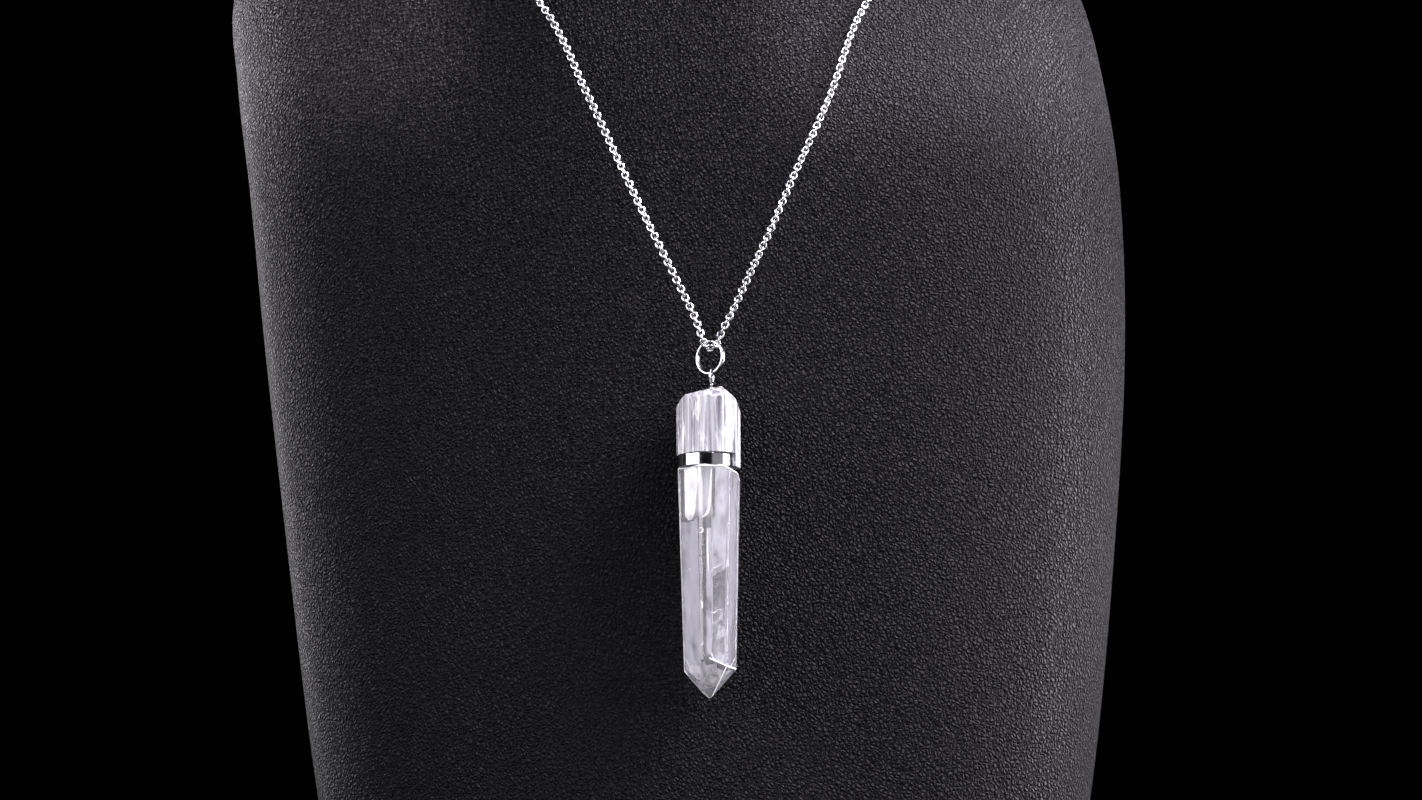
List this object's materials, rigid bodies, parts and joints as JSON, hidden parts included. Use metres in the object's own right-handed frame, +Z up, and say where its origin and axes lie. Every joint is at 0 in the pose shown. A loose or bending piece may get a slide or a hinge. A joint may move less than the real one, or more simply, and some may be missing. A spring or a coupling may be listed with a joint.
{
  "type": "crystal pendant necklace on a neck bust",
  "caption": "Faceted clear quartz point under a rounded quartz cap and plain silver collar, hung by a jump ring from a fine cable chain that lies round a dark leatherette neck bust.",
  "frame": {"origin": "middle of the neck bust's flat base, on the surface that it stands on", "axes": "+Z up along the bust, -Y towards the front where the pendant hangs, +X to the viewer's right"},
  "size_m": [0.2035, 0.1475, 0.315],
  "materials": {
    "leatherette": "fine pebbled grain, semi-matt black",
    "cap_quartz": "milky white quartz with upright striations, rough polish",
    "point_quartz": "clear quartz, polished faces, inner veils",
    "silver": "polished silver",
    "chain_silver": "polished silver wire"
  },
  "bodies": {
    "root": {"neck_bust": "leatherette", "cap_stone": "cap_quartz", "band": "silver", "point_stone": "point_quartz", "screw_eye": "silver", "jump_ring": "silver", "chain": "chain_silver", "clasp": "silver"}
  },
  "joints": []
}
